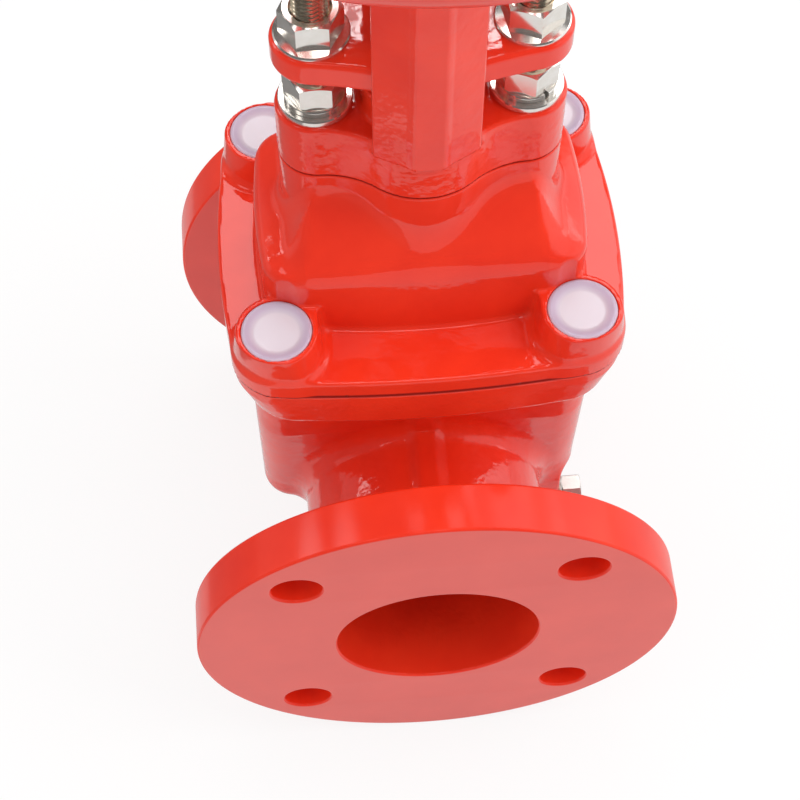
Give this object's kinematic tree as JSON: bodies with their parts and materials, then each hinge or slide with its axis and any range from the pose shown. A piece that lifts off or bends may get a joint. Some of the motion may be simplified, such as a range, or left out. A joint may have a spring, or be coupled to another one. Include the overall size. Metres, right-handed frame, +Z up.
{
  "type": "flanged gate valve",
  "caption": "Flanged outside-screw-and-yoke gate valve; a handwheel nut lifts the rising stem and its rubber-faced wedge.",
  "frame": {"origin": "centre of the waterway at the inlet flange's face", "axes": "+Y along the pipe from inlet to outlet, +Z up along the stem, +X across the pipe to the drain plug's side"},
  "size_m": [0.214, 0.214, 0.5073],
  "materials": {
    "red_enamel": "gloss enamel over lumpy cast iron",
    "wheel_enamel": "gloss enamel",
    "stainless_steel": "bright machined",
    "stem_steel": "turned, with a rolled thread",
    "zinc_steel": "bright zinc",
    "white_plastic": "milky, half gloss",
    "black_rubber": "matte",
    "graphite": "pressed graphite cord",
    "brass": "turned",
    "copper": "soft annealed",
    "iron": "rough cast",
    "guide_plastic": "moulded acetal"
  },
  "bodies": {
    "casing": {"valve_body": "red_enamel", "bonnet": "red_enamel", "bonnet_gasket": "black_rubber", "bonnet_screws": "zinc_steel", "screw_caps": "white_plastic", "drain_plug": "stainless_steel", "plug_washer": "copper", "yoke": "red_enamel", "yoke_seal": "black_rubber", "back_seat_bush": "brass", "packing_rings": "graphite", "gland_bush": "brass", "gland_plate": "red_enamel", "gland_studs": "stainless_steel", "base_washers": "stainless_steel", "spring_washers": "stainless_steel", "base_nuts": "stainless_steel", "gland_nuts": "stainless_steel", "lower_thrust_washer": "brass", "upper_thrust_washer": "brass", "head_cap": "red_enamel", "cap_screws": "stainless_steel"},
    "rising_stem": {"stem": "stem_steel", "wedge_core": "iron", "wedge_rubber": "black_rubber", "wedge_guides": "guide_plastic", "wedge_nut": "brass", "stem_pin": "stainless_steel"},
    "wheel": {"handwheel": "wheel_enamel", "stem_nut": "brass", "wheel_key": "zinc_steel", "wheel_washer": "zinc_steel", "wheel_nut": "zinc_steel"}
  },
  "joints": [
    {"name": "handwheel_turn", "type": "hinge", "parent": "casing", "child": "wheel", "pos_m": [0, 0.1016, 0.377], "axis": [0, 0, 1], "range_deg": [0, 6120]},
    {"name": "stem_lift", "type": "slide", "parent": "casing", "child": "rising_stem", "axis": [0, 0, 1], "range_m": [0, 0.085]}
  ],
  "couplings": [
    {"joint": "stem_lift", "follows": "handwheel_turn", "m_per_rad": 0.00079577}
  ]
}
